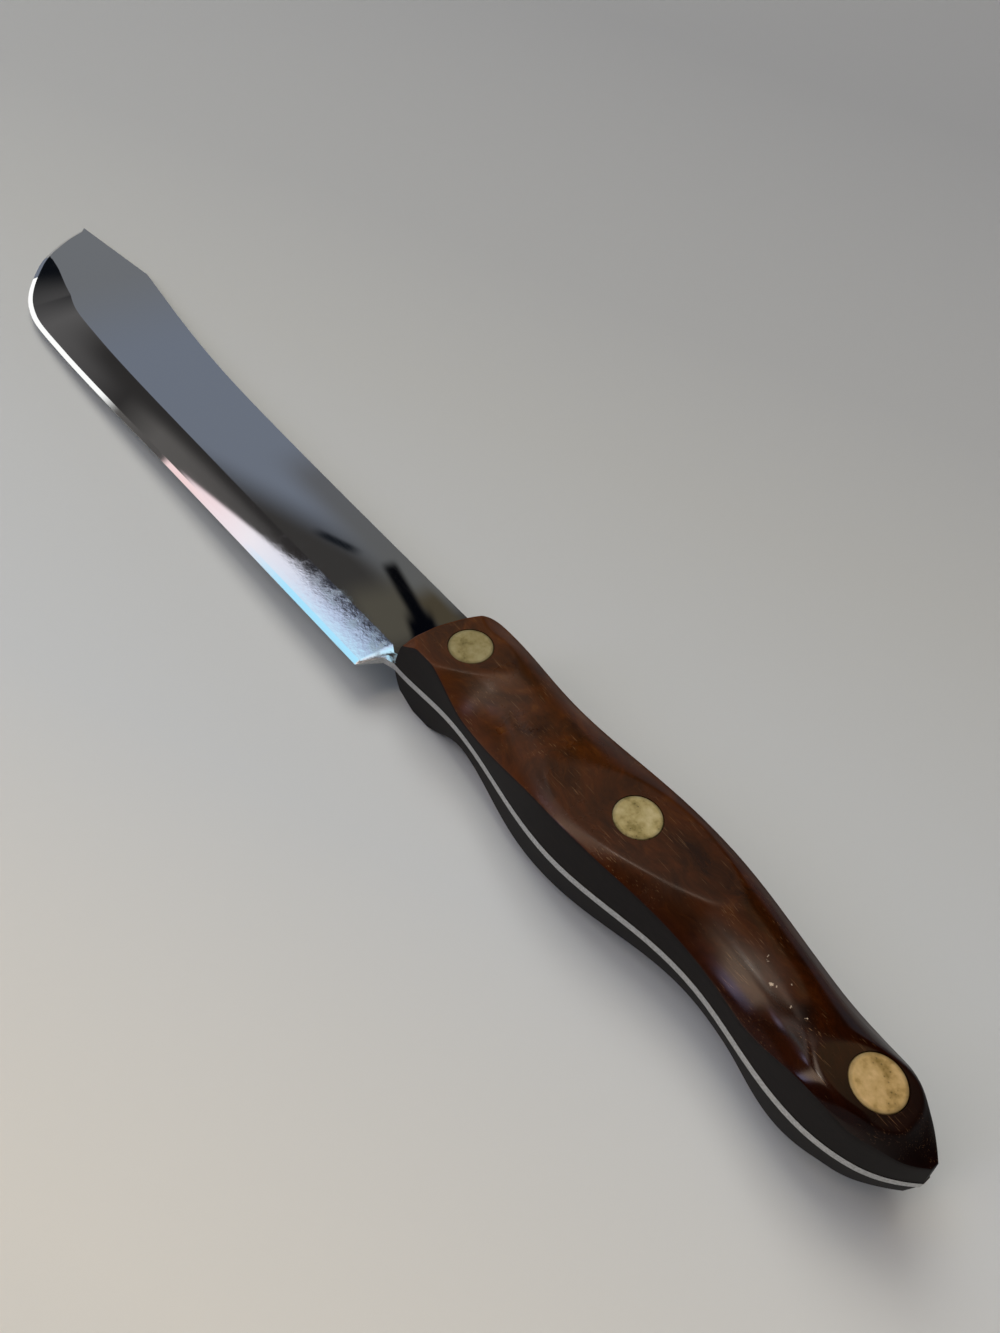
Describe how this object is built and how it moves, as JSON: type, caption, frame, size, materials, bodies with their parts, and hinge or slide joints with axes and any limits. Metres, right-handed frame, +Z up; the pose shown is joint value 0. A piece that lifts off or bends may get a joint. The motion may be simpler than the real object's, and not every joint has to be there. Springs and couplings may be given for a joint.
{
  "type": "butcher knife",
  "caption": "Full-tang butcher knife with an upswept hollow-ground blade, a clipped point and sculpted marbled scales held by flush rivets.",
  "frame": {"origin": "middle of the knife's outline, on the surface that its lower flats rest on", "axes": "+X along the knife from butt to tip, +Y across it towards the cutting edge, +Z up through its thickness"},
  "size_m": [0.3428, 0.04, 0.0206],
  "materials": {
    "blade_steel": "mirror polished stainless steel",
    "handle_resin": "polished marbled brown resin",
    "rivet_metal": "dulled nickel silver"
  },
  "bodies": {
    "root": {"blade_and_tang": "blade_steel", "upper_scale": "handle_resin", "lower_scale": "handle_resin", "front_rivet_tube": "rivet_metal", "front_rivet_pin": "rivet_metal", "middle_rivet_tube": "rivet_metal", "middle_rivet_pin": "rivet_metal", "rear_rivet_tube": "rivet_metal", "rear_rivet_pin": "rivet_metal"}
  },
  "joints": []
}
